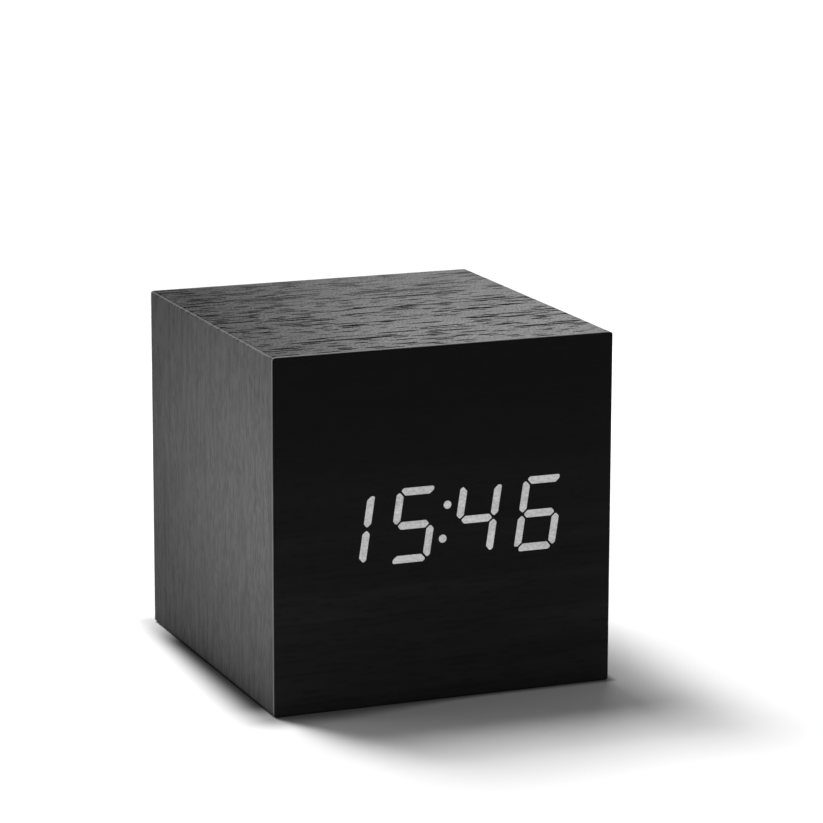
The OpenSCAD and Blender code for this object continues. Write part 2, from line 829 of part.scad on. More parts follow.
// The raised marks are a ring, and a triangle that points up or down
module set_button() {
    button(0) difference() {
        circle(mark_r);
        circle(mark_r - mark_line);
    }
}

module up_button() {
    button(1) rotate(90) circle(mark_r, $fn = 3);
}

module down_button() {
    button(2) rotate(-90) circle(mark_r, $fn = 3);
}

module switch_bodies() {
    color("#2f2f31") for (x = BUTTON_X) difference() {
        block([x - switch_w / 2, board_rear_y, cover_z + button_z - switch_w / 2],
              [x + switch_w / 2, board_rear_y + switch_t, cover_z + button_z + switch_w / 2]);
        rod_y(plunger_r + seat, board_rear_y + switch_t - plunger_hidden - button_travel - slip,
              board_rear_y + switch_t + past, x, cover_z + button_z);
    }
}

module plunger(place) {
    color("#d8d2c2") rod_y(plunger_r, button_foot_y - plunger_l - plunger_hidden, button_foot_y,
                           BUTTON_X[place], cover_z + button_z);
}

module set_plunger() { plunger(0); }
module up_plunger() { plunger(1); }
module down_plunger() { plunger(2); }

// Main board and what it carries

module main_board() {
    color("#1f5e3a") difference() {
        translate([0, 0, cover_z]) slab_y(board_y, board_rear_y) rounded_rect(board_w, board_h, board_r);
        translate([0, 0, cover_z]) corners_xz(post_x, post_z)
            rod_y(small_screw_r + slip, board_y - past, board_rear_y + past);
    }
}

module board_screws() {
    color("silver") translate([0, board_y, cover_z]) corners_xz(post_x, post_z)
        rotate([-90, 0, 0]) pan_screw(post_screw_l);
}

// Straight power socket: a square foot and a round collar that fills the cover's hole
module power_socket() {
    z = cover_z + lower_row_z;
    color("#141414") difference() {
        union() {
            block([socket_x - socket_w / 2, board_rear_y, z - socket_w / 2],
                  [socket_x + socket_w / 2, cover_y - slip, z + socket_w / 2]);
            rod_y(socket_collar_r, cover_y - past, cover_rear_y - slip, socket_x, z);
        }
        rod_y(socket_bore_d / 2, board_rear_y + socket_floor, rear_y, socket_x, z);
    }
}

module socket_pin() {
    color("silver") rod_y(socket_pin_r, board_rear_y + socket_floor, cover_rear_y - socket_pin_shy,
                          socket_x, cover_z + lower_row_z);
}

module buzzer() {
    z = cover_z + lower_row_z;
    color("#1c1c1c") difference() {
        rod_y(buzzer_r, board_rear_y, board_rear_y + buzzer_t, buzzer_x, z);
        rod_y(buzzer_hole_r, board_rear_y + buzzer_t / 2, rear_y, buzzer_x, z);
    }
}

module microphone() {
    z = cover_z + lower_row_z;
    color("#b8b8ba") rod_y(microphone_r, board_rear_y, board_rear_y + microphone_t, microphone_x, z);
}

// Bead on two legs
module temperature_sensor() {
    z = cover_z + sensor_z;
    color("#6b3d1e") {
        translate([microphone_x, board_rear_y + sensor_rise, z]) sphere(sensor_r);
        for (side = [-1, 1])
            rod_y(sensor_leg_r, board_rear_y, board_rear_y + sensor_rise,
                  microphone_x + side * sensor_r / 2, z);
    }
}

module controller_chip() {
    color("#202022") translate([chip_at[0], board_y, cover_z + chip_at[1]]) {
        translate([-chip_size[0] / 2, -chip_size[1], -chip_size[2] / 2]) cube(chip_size);
        for (i = [0:chip_legs - 1], side = [-1, 1])
            translate([(i - (chip_legs - 1) / 2) * chip_leg_pitch - chip_leg[0] / 2, -chip_leg[1],
                       side > 0 ? chip_size[2] / 2 : -chip_size[2] / 2 - chip_leg[2]])
                cube(chip_leg);
    }
}

module crystal() {
    color("silver") rod_x(crystal_r, crystal_at[0] - crystal_l / 2, crystal_at[0] + crystal_l / 2,
                          board_y - crystal_r, cover_z + crystal_at[1]);
}

module capacitor() {
    color("#23324a") rod_y(capacitor_r, board_y - capacitor_l, board_y,
                           capacitor_at[0], cover_z + capacitor_at[1]);
}

module chip_parts() {
    color("#3a332b") for (z = chip_part_rows, i = [0:chip_part_count - 1])
        translate([chip_part_x + i * chip_part_pitch, board_y - chip_part_size[1], cover_z + z])
            cube(chip_part_size);
}

module main_connector() {
    color("#efe9d8") block(
        [-connector_size[0] / 2, board_y - connector_size[1], ribbon_top_z - connector_size[2] / 2],
        [connector_size[0] / 2, board_y, ribbon_top_z + connector_size[2] / 2]);
}

module lead_connector() {
    color("#efe9d8") block(
        [-lead_connector_size[0] / 2, lead_end_y, lead_connector_z - lead_connector_size[2] / 2],
        [lead_connector_size[0] / 2, board_y, lead_connector_z + lead_connector_size[2] / 2]);
}

module positive_lead() {
    color("#b3201c") tube(smooth_route(POSITIVE_ROUTE), lead_d / 2, lead_sides, [1, 0, 0]);
}

module negative_lead() {
    color("#161616") tube(smooth_route(NEGATIVE_ROUTE), lead_d / 2, lead_sides, [1, 0, 0]);
}

// Batteries

module tray_screw_places() {
    for (sx = [-1, 1], sy = [-1, 1])
        translate([sx * tray_screw_x, sy * tray_screw_y, door_recess]) children();
}

// Which way a cell's terminal points: the middle one is turned round
function cell_way(i) = i % 2 == 0 ? 1 : -1;
function cell_y(i) = (i - (cell_count - 1) / 2) * cell_pitch;

// Tray with a flange round the door, ribs between the cells and sockets for the hinge pins
module battery_tray() {
    tab_slot = plate_t + 2 * seat;
    color("#1a1a1b") difference() {
        union() {
            translate([0, 0, door_recess]) linear_extrude(flange_top_z - door_recess)
                rounded_rect(flange_w, flange_d, flange_r);
            block([-tray_w / 2, -tray_d / 2, door_recess], [tray_w / 2, tray_d / 2, tray_top_z]);
        }
        difference() {
            block([-tray_inner_w / 2, -tray_inner_d / 2, -past],
                  [tray_inner_w / 2, tray_inner_d / 2, tray_ceiling_z]);
            for (i = [0:cell_count - 2]) translate([0, cell_y(i) + cell_pitch / 2, tray_ceiling_z])
                block([-tray_inner_w / 2 + rib_inset, -rib_t / 2, -rib_drop],
                      [tray_inner_w / 2 - rib_inset, rib_t / 2, past]);
        }
        block([-door_hole_w / 2, -door_hole_d / 2, -past],
              [door_hole_w / 2, door_hole_d / 2, flange_top_z]);
        translate([0, door_hole_d / 2, -past]) linear_extrude(door_recess + finger_deep + past)
            rounded_rect(finger_w, 2 * finger_d, finger_r);
        rod_x(hinge_pin_r + run, -door_w / 2 - hinge_pin_l - run, door_w / 2 + hinge_pin_l + run,
              hinge_y, hinge_z);
        tray_screw_places() flush_hole(flange_top_z);
        for (side = [-1, 1]) translate([side * plate_mid_x, side * cell_pitch, tray_ceiling_z])
            cube([tab_slot, tab_w + 2 * seat, 2 * tray_roof_t + past], center = true);
    }
}

module tray_screws() {
    color("silver") tray_screw_places() flush_screw(tray_screw_l);
}

// Door with a round hinge edge, pins at its ends, a springy tongue and grip grooves
module battery_door() {
    color("#1e1e1f") difference() {
        union() {
            translate([-door_w / 2, hinge_y, hinge_z]) rotate([90, 0, 90]) linear_extrude(door_w) {
                circle(hinge_r);
                translate([0, -hinge_r]) square([door_d - hinge_r, door_t]);
            }
            rod_x(hinge_pin_r, -door_w / 2 - hinge_pin_l, door_w / 2 + hinge_pin_l, hinge_y, hinge_z);
        }
        for (side = [-1, 1]) translate([side * tongue_w / 2, door_d / 2, 0])
            block([-tongue_slot / 2, -tongue_l, -past], [tongue_slot / 2, past, door_top_z + past]);
        for (i = [0:grip_count - 1]) translate([0, grip_y - i * grip_pitch, door_recess])
            block([-grip_w / 2, -grip_groove, -past], [grip_w / 2, grip_groove, grip_groove]);
    }
}

module aaa_cells() {
    can_l = cell_l - nub_l;
    color("#3c4a52") for (i = [0:cell_count - 1])
        translate([cell_way(i) * (tray_inner_w / 2 - plate_t), cell_y(i), cell_z])
            rotate([0, -90 * cell_way(i), 0]) {
                cylinder(r = nub_r, h = cell_l);
                translate([0, 0, nub_l]) cylinder(r = cell_r, h = can_l);
            }
}

// Tapered coil springs between the cells' flat ends and their contact plates
module battery_springs() {
    wire_r = spring_wire_d / 2;
    steps = spring_turns * spring_steps;
    rise = spring_l - spring_wire_d - 2 * run;
    coil = [for (k = [0:steps])
        let (
            t = k / steps,
            r = spring_big_r + (spring_small_r - spring_big_r) * t,
            a = 360 * spring_turns * t
        )
        [wire_r + run + rise * t, r * cos(a), r * sin(a)]];
    color("silver") for (i = [0:cell_count - 1])
        translate([-cell_way(i) * (tray_inner_w / 2 - plate_t), cell_y(i), cell_z])
            rotate(cell_way(i) > 0 ? 0 : 180) tube(coil, wire_r, spring_sides, [1, 0, 0]);
}

// Contact plates: one end joins two cells, the other carries the tab for a lead
module contact_plates() {
    color("silver") for (side = [-1, 1]) {
        x = side * plate_mid_x;
        y_single = side * cell_pitch;
        block([x - plate_t / 2, y_single - plate_w / 2, cell_z - plate_h / 2],
              [x + plate_t / 2, y_single + plate_w / 2, cell_z + plate_h / 2]);
        block([x - plate_t / 2, y_single - tab_w / 2, cell_z],
              [x + plate_t / 2, y_single + tab_w / 2, lead_start_z]);
        y_near = side > 0 ? -cell_pitch : 0;
        block([x - plate_t / 2, y_near - plate_w / 2, cell_z - plate_h / 2],
              [x + plate_t / 2, y_near + cell_pitch + plate_w / 2, cell_z + plate_h / 2]);
    }
}

veneer_wrap();
front_veneer();
rear_veneer();
top_board();
bottom_board();
left_board();
right_board();
front_board();
rear_board();
display_housing();
lit_segments();
unlit_segments();
led_chips();
display_board();
display_pins();
display_spacers();
display_screws();
display_connector();
ribbon_cable();
rear_cover();
rear_cover_screws();
set_button();
up_button();
down_button();
main_board();
board_screws();
switch_bodies();
set_plunger();
up_plunger();
down_plunger();
power_socket();
socket_pin();
buzzer();
microphone();
temperature_sensor();
controller_chip();
crystal();
capacitor();
chip_parts();
main_connector();
lead_connector();
positive_lead();
negative_lead();
battery_tray();
tray_screws();
battery_door();
aaa_cells();
battery_springs();
contact_plates();
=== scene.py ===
"""Looks of a cube-shaped digital alarm clock in black wood veneer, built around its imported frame."""

import math

import bpy
from mathutils import Matrix, Vector


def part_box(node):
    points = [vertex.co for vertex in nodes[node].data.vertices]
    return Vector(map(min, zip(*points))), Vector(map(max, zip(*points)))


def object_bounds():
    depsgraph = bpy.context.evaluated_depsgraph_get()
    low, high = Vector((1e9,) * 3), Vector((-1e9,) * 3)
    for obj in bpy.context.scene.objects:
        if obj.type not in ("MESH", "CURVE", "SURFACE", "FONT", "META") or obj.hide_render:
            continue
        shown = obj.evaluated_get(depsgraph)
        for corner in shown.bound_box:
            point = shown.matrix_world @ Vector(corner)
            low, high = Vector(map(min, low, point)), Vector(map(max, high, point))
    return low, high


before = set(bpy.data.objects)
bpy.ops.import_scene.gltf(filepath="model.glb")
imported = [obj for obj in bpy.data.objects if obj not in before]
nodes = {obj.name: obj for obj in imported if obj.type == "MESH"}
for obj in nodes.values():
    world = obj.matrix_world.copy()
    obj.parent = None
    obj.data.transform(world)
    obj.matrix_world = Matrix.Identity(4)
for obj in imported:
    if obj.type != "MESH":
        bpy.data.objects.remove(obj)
cad_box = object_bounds()

# Lengths in metres, angles in degrees, and colours as linear red, green and blue
MM = 0.001

# Camera at the photograph's viewing angle, for a square picture
IMAGE_PX = 823
FOCAL_PX = 3704.0
SENSOR = 36.0
CAMERA_AIM = Vector((7.6, 0.1, 47.4)) * MM
CAMERA_DISTANCE = 721.8 * MM
CAMERA_AZIMUTH = -22.04
CAMERA_ELEVATION = 12.5
CAMERA_ROLL = 0.16
CAMERA_NEAREST = 10 * MM

# Far lights: azimuth from the front to the right, elevation, the angle that each fills, and power
FAR_LIGHTS = {
    "key": (-160, 55, 16, 1.65),
    "high": (-163, 68, 18, 1.8),
    "side": (-117, 23, 30, 0.42),
}

# Near lights: place, width and power
NEAR_LIGHTS = {
    "panel": ((0.155, 0.27, 0.137), 0.12, 0.25),
    "front": ((0.1, -1.0, 0.02), 0.04, 1.5),
    "under": ((0.15, -0.25, -0.6), 0.5, 4.0),
}

# The world's strength as light; where it is seen, it is white
AMBIENT = 0.17

# Case, taken from the frame
CASE_LOW, CASE_HIGH = (Vector(corner) for corner in cad_box)
HALF_W = (CASE_HIGH.x - CASE_LOW.x) / 2
HALF_D = (CASE_HIGH.y - CASE_LOW.y) / 2
CASE_H = CASE_HIGH.z

# Most of a noise field lies between these
NOISE_LOW = 0.3
NOISE_HIGH = 0.7


class Graph:
    """A material's node tree, with one short call for each kind of node."""

    def __init__(self, name):
        self.material = bpy.data.materials.new(name)
        self.material.use_nodes = True
        self.tree = self.material.node_tree
        self.tree.nodes.clear()
        self.output = self.tree.nodes.new("ShaderNodeOutputMaterial")

    def put(self, socket, value):
        """Links a socket, or sets a plain number or colour on it."""
        if isinstance(value, bpy.types.NodeSocket):
            self.tree.links.new(value, socket)
        elif socket.type == "RGBA":
            socket.default_value = (*value, 1)
        else:
            socket.default_value = value

    def math(self, operation, a, b=0.0, c=0.0):
        node = self.tree.nodes.new("ShaderNodeMath")
        node.operation = operation
        for socket, value in zip(node.inputs, (a, b, c)):
            self.put(socket, value)
        return node.outputs[0]

    def coordinates(self, kind):
        node = self.tree.nodes.new("ShaderNodeTexCoord")
        split = self.tree.nodes.new("ShaderNodeSeparateXYZ")
        self.put(split.inputs[0], node.outputs[kind])
        return tuple(split.outputs)

    def place(self):
        """The point's X, Y and Z in the frame."""
        return self.coordinates("Object")

    def normal(self):
        """X, Y and Z of the surface's normal."""
        return self.coordinates("Normal")

    def vector(self, x, y, z=0.0):
        node = self.tree.nodes.new("ShaderNodeCombineXYZ")
        for socket, value in zip(node.inputs, (x, y, z)):
            self.put(socket, value)
        return node.outputs[0]

    def stretch(self, point, rates, *rest):
        """Vector of a point's coordinates, each times its own rate, and of what is left after them."""
        return self.vector(*(self.math("MULTIPLY", *pair) for pair in zip(point, rates)), *rest)

    def noise(self, vector, detail=2.0, roughness=0.5):
        node = self.tree.nodes.new("ShaderNodeTexNoise")
        self.put(node.inputs["Vector"], vector)
        node.inputs["Scale"].default_value = 1.0
        node.inputs["Detail"].default_value = detail
        node.inputs["Roughness"].default_value = roughness
        return node.outputs["Fac"]

    def grains(self, point, rate, detail=2.0, roughness=0.5):
        """Noise at the same rate along X, Y and Z."""
        return self.noise(self.stretch(point, (rate, rate, rate)), detail, roughness)

    def between(self, value, low, high, to_low=0.0, to_high=1.0):
        """Smooth step from low to high."""
        node = self.tree.nodes.new("ShaderNodeMapRange")
        node.interpolation_type = "SMOOTHSTEP"
        for name, amount in (("Value", value), ("From Min", low), ("From Max", high),
                             ("To Min", to_low), ("To Max", to_high)):
            self.put(node.inputs[name], amount)
        return node.outputs[0]

    def spread(self, field, to_low=0.0, to_high=1.0):
        """A noise field, spread from its usual range to another."""
        return self.between(field, NOISE_LOW, NOISE_HIGH, to_low, to_high)

    def choose(self, factor, a, b):
        """The number a where the factor is 0, and b where it is 1."""
        return self.math("MULTIPLY_ADD", factor, self.math("SUBTRACT", b, a), a)

    def distance(self, a, b):
        """Length of a flat vector."""
        return self.math("SQRT", self.math("MULTIPLY_ADD", a, a, self.math("MULTIPLY", b, b)))

    def mix(self, factor, a, b):
        """The colour a where the factor is 0, and b where it is 1."""
        node = self.tree.nodes.new("ShaderNodeMix")
        node.data_type = "RGBA"
        for name, value in (("Factor", factor), ("A", a), ("B", b)):
            self.put(node.inputs[name], value)
        return node.outputs["Result"]

    def bump(self, height, depth):
        node = self.tree.nodes.new("ShaderNodeBump")
        node.inputs["Distance"].default_value = depth
        self.put(node.inputs["Height"], height)
        return node.outputs[0]

    def surface(self, **inputs):
        """Ends the material in a Principled shader; spaces in the sockets' names are underscores here."""
        node = self.tree.nodes.new("ShaderNodeBsdfPrincipled")
        for name, value in inputs.items():
            self.put(node.inputs[name.replace("_", " ")], value)
        self.tree.links.new(node.outputs[0], self.output.inputs["Surface"])
        return self.material


def dress(material, *names):
    """Gives a material to CAD nodes."""
    for name in names:
        mesh = nodes[name].data
        mesh.materials.clear()
        mesh.materials.append(material)


# Wood: rates are waves per metre, along and across the grain

# Each veneer leaf has a place of its own in the noise, and its grain wanders to and fro
SLEEVE_LEAF = 16.0
SLEEVE_WANDER = 0.3 * MM
FLECK_LEAF = 31.0
FRONT_LEAF = 41.0
REAR_LEAF = 57.0
FACE_WANDER = 1.2 * MM
SEGMENT_LEAF = 9.0
SEGMENT_WANDER = 1.0 * MM

SWAY_RATES = (22, 45)
CROWD_RATES = (35, 160)
STREAK_RATES = (60, 520)
TONE_RATES = (12, 130)
SPECK_RATES = (2600, 1200)
FLECK_RATES = (260, 1300)
CHIP_RATE = 650
FIBRE_RATE = 1800
GLOW_RATES = (1500, 2200)

# Pores in dashes: rate along the grain, width of a row, and the least chance that opens one
SHORT_DASHES = (240, 1.2 * MM, 0.55)
LONG_DASHES = (90, 1.4 * MM, 0.565)
ROW_SHIFT = (7.3, 13.7)
PORE_TAPER = -1.8
PORE_EDGE = 0.03
CROWDING = 0.12

# X or Z of the normal from which the sleeve counts as side or top, and over which a highlight is painted
# along its edges
SIDE_FROM = 0.7
UPPER_FROM = 0.5
EDGE_HIGHLIGHT_OFF_TOP = (0.94, 0.80)
EDGE_HIGHLIGHT_OFF_SIDE = (0.80, 0.74)

# The same for the front and rear veneers: a painted highlight on their side and upper edges, and their
# chips, with the chance of a chip
HIGHLIT_SIDE_EDGE = (0.7, 0.95)
HIGHLIT_UPPER_EDGE = (0.6, 0.9)
CHIPPED = (0.3, 0.6)
CHIP_CHANCE = (0.64, 0.68)

# How far the sleeve's pores are open, against 1 at the front of the top, and how short its side grain is
PORES_AT_REAR = 0.86
PORES_BELOW_TOP = 0.15
SIDE_SHORTER = 1.6

# Colours, in pairs from dark to pale, and how much paler painted light makes the front and rear veneers at
# the foot
FOOT_PAINTED_LIGHT = 1.3
STAIN = ((0.014, 0.0137, 0.0133), (0.024, 0.0236, 0.0232))
STAIN_PALEST = (0.042, 0.0415, 0.041)
PORE = (0.002, 0.002, 0.002)
# Pale colour of the highlight painted along the sleeve's folded edges
SLEEVE_EDGE_HIGHLIGHT = (0.12, 0.119, 0.117)
FRONT_STAIN = ((0.0035, 0.0035, 0.0035), (0.016, 0.0158, 0.0156))
REAR_STAIN = ((0.014, 0.014, 0.0135), (0.030, 0.0295, 0.029))
# Pale colour for the painted highlight on the front and rear veneers' edges, and for their chips
CHIPS_AND_EDGE_HIGHLIGHT = ((0.10, 0.10, 0.098), (0.25, 0.25, 0.243))
FIBRE = ((0.016, 0.013, 0.011), (0.045, 0.037, 0.030))
GLOW = ((0.30, 0.30, 0.30), (0.56, 0.56, 0.56))

# Sheen on the sides: its middle, how far it reaches, how much flatter than round it is, and its levels
SHEEN_Y = -43 * MM
SHEEN_Z = 40 * MM
SHEEN_REACH = 105 * MM
SHEEN_FLATNESS = 1.92
SHEEN = (0.105, 0.823)

# Lacquer on the top, from the left edge to the middle, times a level from the rear to the front
LACQUER_ACROSS = (0.037, 0.125)
LACQUER_FORWARD = (0.95, 2.6)

# How much the grain, the flecks in pale streaks and the fine specks change the shine
GRAIN_SHINE = (0.8, 1.15)
FLECK_SHINE = (1.2, 3.6)
SPECK_SHINE = (-0.75, 0.85)


def wood_grain(g, along, across, leaf, wander):
    """Grain of one veneer leaf: open pores, fine streaks and slow changes of tone, each from 0 to 1."""
    sway = g.noise(g.stretch((along, across), SWAY_RATES, leaf), 2)
    level = g.math("MULTIPLY_ADD", g.math("SUBTRACT", sway, 0.5), wander, across)

    def field(rates, offset, detail):
        return g.noise(g.stretch((along, level), rates, leaf + offset), detail)

    crowd = g.math("MULTIPLY_ADD", field(CROWD_RATES, 7, 1), CROWDING, -CROWDING / 2)

    def dashes(rate, row, least, offset):
        """Thin dashes in rows, each row with its own chance of them."""
        place = g.math("DIVIDE", level, row)
        number = g.math("FLOOR", place)
        off_middle = g.math("ABSOLUTE", g.math("SUBTRACT", g.math("FRACT", place), 0.5))
        shifted = g.math("MULTIPLY_ADD", number, ROW_SHIFT[0], g.math("MULTIPLY", along, rate))
        apart = g.math("MULTIPLY", number, ROW_SHIFT[1])
        chance = g.noise(g.vector(shifted, apart, leaf + offset), 0)
        thin = g.math("MULTIPLY", off_middle, off_middle)
        chance = g.math("ADD", chance, g.math("MULTIPLY_ADD", thin, PORE_TAPER, crowd))
        return g.between(chance, least, least + PORE_EDGE)

    pores = g.math("MAXIMUM", dashes(*SHORT_DASHES, 1), dashes(*LONG_DASHES, 4))
    return pores, field(STREAK_RATES, 13, 3), field(TONE_RATES, 21, 2)


def sleeve_veneer():
    """Black-stained open-pore veneer folded round the case.

    Its grain runs along X on the top and along Z on the sides.
    """
    g = Graph("sleeve_veneer")
    x, y, z = g.place()
    normal_x, _, normal_z = g.normal()
    sideways = g.math("ABSOLUTE", normal_x)
    upright = g.math("ABSOLUTE", normal_z)
    side = g.math("GREATER_THAN", sideways, SIDE_FROM)
    upper = g.math("GREATER_THAN", normal_z, UPPER_FROM)

    # Grain, unrolled from the top down both sides
    unrolled = g.math("MULTIPLY", g.math("SIGN", x), SIDE_SHORTER)
    drop = g.math("MULTIPLY", g.math("SUBTRACT", CASE_H, z), unrolled)
    along = g.math("MULTIPLY_ADD", side, drop, x)
    pores, streaks, tone = wood_grain(g, along, y, SLEEVE_LEAF, SLEEVE_WANDER)
    opened = g.between(y, HALF_D, 0.0, PORES_AT_REAR, 1.0)
    pores = g.math("MULTIPLY", pores, g.choose(upper, PORES_BELOW_TOP, opened))
    speck = g.noise(g.stretch((along, y), SPECK_RATES), 2)
    flecks = g.noise(g.stretch((along, y), FLECK_RATES, FLECK_LEAF), 2)

    # Stain, with the pores dark and a highlight painted pale along the folded edges
    fibres = g.math("MULTIPLY_ADD", speck, 0.5, g.math("MULTIPLY", streaks, 0.5))
    stain = g.mix(g.spread(fibres), g.mix(tone, *STAIN), STAIN_PALEST)
    painted_edge_highlight = g.math("MULTIPLY", g.between(upright, *EDGE_HIGHLIGHT_OFF_TOP), g.between(sideways, *EDGE_HIGHLIGHT_OFF_SIDE))
    colour = g.mix(painted_edge_highlight, g.mix(pores, stain, PORE), SLEEVE_EDGE_HIGHLIGHT)

    # Shine: a broad sheen on the sides, lacquer on the top, both broken up by the grain
    away_y = g.math("SUBTRACT", y, SHEEN_Y)
    away_z = g.math("MULTIPLY", g.math("SUBTRACT", z, SHEEN_Z), SHEEN_FLATNESS)
    sheen = g.between(g.distance(away_y, away_z), SHEEN_REACH, 0.0, *SHEEN)
    lacquer = g.math("MULTIPLY", g.between(x, -HALF_W, 0, *LACQUER_ACROSS),
                     g.between(y, HALF_D, -HALF_D, *LACQUER_FORWARD))
    shine = g.choose(side, lacquer, sheen)
    flecked = g.math("MULTIPLY_ADD", g.math("SUBTRACT", flecks, 0.5),
                     g.between(tone, 0.4, 0.62, *FLECK_SHINE),
                     g.math("MULTIPLY_ADD", streaks, 0.8, 0.1))
    grain = g.choose(side, streaks, flecked)
    shine = g.math("MULTIPLY", shine, g.spread(grain, *GRAIN_SHINE))
    glint = g.between(speck, 0.38, 0.62, *SPECK_SHINE)
    shine = g.math("MULTIPLY", shine, g.math("MULTIPLY_ADD", glint, upper, 1.0))

    raised = g.math("MULTIPLY", g.math("MULTIPLY", speck, upper), 0.15)
    return g.surface(Base_Color=colour, Roughness=g.math("MULTIPLY_ADD", speck, 0.2, 0.55),
                     Normal=g.bump(g.math("SUBTRACT", raised, pores), 0.1 * MM),
                     Specular_IOR_Level=g.math("MULTIPLY", shine, g.math("SUBTRACT", 1.0, pores)))


def face_veneer(name, leaf, dark, pale):
    """Flat black veneer, grain along X, with painted light making it paler toward the foot and a painted
    highlight along its side and upper edges.

    The round below the upper edge is chipped here and there.
    """
    g = Graph(name)
    x, _, z = g.place()
    normal_x, _, normal_z = g.normal()
    pores, streaks, tone = wood_grain(g, x, z, leaf, FACE_WANDER)
    # Painted light: the veneer is made paler toward the foot
    foot = g.between(z, CASE_H, 0, 0.0, FOOT_PAINTED_LIGHT)
    mottle = g.math("MULTIPLY", g.spread(tone, 0.35, 0.65), g.spread(streaks, 0.75, 1.0))
    stain = g.mix(g.math("MULTIPLY", foot, mottle), dark, pale)
    colour = g.mix(g.math("MULTIPLY", pores, 0.25), stain, dark)

    chips = g.between(g.noise(g.stretch((x,), (CHIP_RATE,), leaf), 2), *CHIP_CHANCE)
    chipped = g.math("MULTIPLY", g.between(normal_z, *CHIPPED), chips)
    # Painted highlight on the side and upper edges, and pale chips
    edge_highlight_and_chips = g.math("MAXIMUM", g.between(g.math("ABSOLUTE", normal_x), *HIGHLIT_SIDE_EDGE),
                  g.between(normal_z, *HIGHLIT_UPPER_EDGE))
    edge_highlight_and_chips = g.math("MAXIMUM", edge_highlight_and_chips, chipped)
    colour = g.mix(edge_highlight_and_chips, colour, g.mix(tone, *CHIPS_AND_EDGE_HIGHLIGHT))

    height = g.math("SUBTRACT", g.math("MULTIPLY", streaks, 0.3), g.math("MULTIPLY", pores, 0.4))
    return g.surface(Base_Color=colour, Roughness=g.math("MULTIPLY_ADD", streaks, 0.2, 0.45),
                     Normal=g.bump(height, 0.04 * MM), Specular_IOR_Level=0.03)


def fibreboard():
    """Black-dyed fibreboard with a felted cut."""
    g = Graph("fibreboard")
    fibres = g.grains(g.place(), FIBRE_RATE, 4, 0.65)
    return g.surface(Base_Color=g.mix(g.spread(fibres), *FIBRE), Roughness=0.9,
                     Normal=g.bump(fibres, 0.08 * MM))


# Display

def lit_filling():
    """Light from a segment, speckled by the veneer's fibres."""
    g = Graph("lit_filling")
    x, _, z = g.place()
    _, streaks, _ = wood_grain(g, x, z, SEGMENT_LEAF, SEGMENT_WANDER)
    speckle = g.noise(g.stretch((x, z), GLOW_RATES), 2, 0.6)
    light = g.math("ADD", g.math("MULTIPLY", streaks, 0.35), g.math("MULTIPLY", speckle, 0.65))
    glow = g.mix(g.between(light, 0.25, 0.75), *GLOW)
    return g.surface(Base_Color=(0.02, 0.02, 0.02), Roughness=0.6, Specular_IOR_Level=0.1,
                     Emission_Color=glow, Emission_Strength=1.0)


# Plastics, metals and electronic parts

# Moulded, cast and dipped materials: dark and pale tone, rate of the grain, roughness, depth of the bump
# in millimetres, and the CAD nodes that wear it
SPECKLED = {
    "unlit_filling": ((0.30, 0.30, 0.29), (0.36, 0.36, 0.35), 3000, 0.5, 0.01, ("unlit_segments",)),
    "reflector": ((0.62, 0.62, 0.60), (0.72, 0.72, 0.70), 3000, 0.5, 0.01, ("display_housing",)),
    "phosphor": ((0.62, 0.50, 0.12), (0.75, 0.62, 0.20), 5000, 0.35, 0.01, ("led_chips",)),
    "moulded_black": ((0.011, 0.011, 0.0112), (0.021, 0.021, 0.0213), 4200, 0.55, 0.05,
                      ("rear_cover", "battery_tray", "battery_door")),
    "socket_black": ((0.007, 0.007, 0.007), (0.012, 0.012, 0.012), 4000, 0.3, 0.01, ("power_socket",)),
    "part_black": ((0.014, 0.014, 0.015), (0.022, 0.022, 0.023), 4000, 0.5, 0.02,
                   ("switch_bodies", "buzzer", "controller_chip")),
    "natural_nylon": ((0.60, 0.56, 0.47), (0.70, 0.66, 0.56), 2500, 0.45, 0.01,
                      ("display_spacers", "display_connector", "main_connector", "lead_connector",
                       "set_plunger", "up_plunger", "down_plunger")),
    "flat_cable": ((0.30, 0.30, 0.31), (0.38, 0.38, 0.39), 1500, 0.5, 0.03, ("ribbon_cable",)),
    "blue_sleeve": ((0.012, 0.022, 0.070), (0.020, 0.034, 0.100), 2500, 0.3, 0.01, ("capacitor",)),
    "dipped_bead": ((0.14, 0.05, 0.016), (0.20, 0.08, 0.026), 3500, 0.3, 0.01,
                    ("temperature_sensor",)),
    "fired_ceramic": ((0.06, 0.045, 0.034), (0.10, 0.078, 0.06), 5000, 0.6, 0.01, ("chip_parts",)),
    "red_insulation": ((0.34, 0.012, 0.010), (0.42, 0.020, 0.016), 2500, 0.4, 0.01,
                       ("positive_lead",)),
    "black_insulation": ((0.010, 0.010, 0.010), (0.016, 0.016, 0.016), 2500, 0.4, 0.01,
                         ("negative_lead",)),
}

# Plated materials: dark and pale tone, roughness, and the CAD nodes that wear it
PLATED = {
    "zinc_plate": ((0.26, 0.257, 0.25), (0.40, 0.396, 0.385), 0.34,
                   ("rear_cover_screws", "tray_screws", "board_screws", "display_screws")),
    "nickel_plate": ((0.56, 0.54, 0.50), (0.68, 0.66, 0.62), 0.24,
                     ("display_pins", "socket_pin", "microphone", "crystal", "battery_springs",
                      "contact_plates")),
}

# Other colours, in pairs from dark to pale
BUTTON = ((0.030, 0.030, 0.031), (0.044, 0.044, 0.045))
PAINT = ((0.42, 0.42, 0.41), (0.55, 0.55, 0.54))
SOLDER_MASK = ((0.008, 0.060, 0.026), (0.014, 0.085, 0.038))
TRACK = (0.030, 0.140, 0.060)
CELL_BODY = ((0.010, 0.012, 0.016), (0.018, 0.021, 0.027))
CELL_COPPER = ((0.42, 0.19, 0.07), (0.52, 0.25, 0.10))
CELL_METAL = ((0.55, 0.54, 0.52), (0.66, 0.65, 0.63))

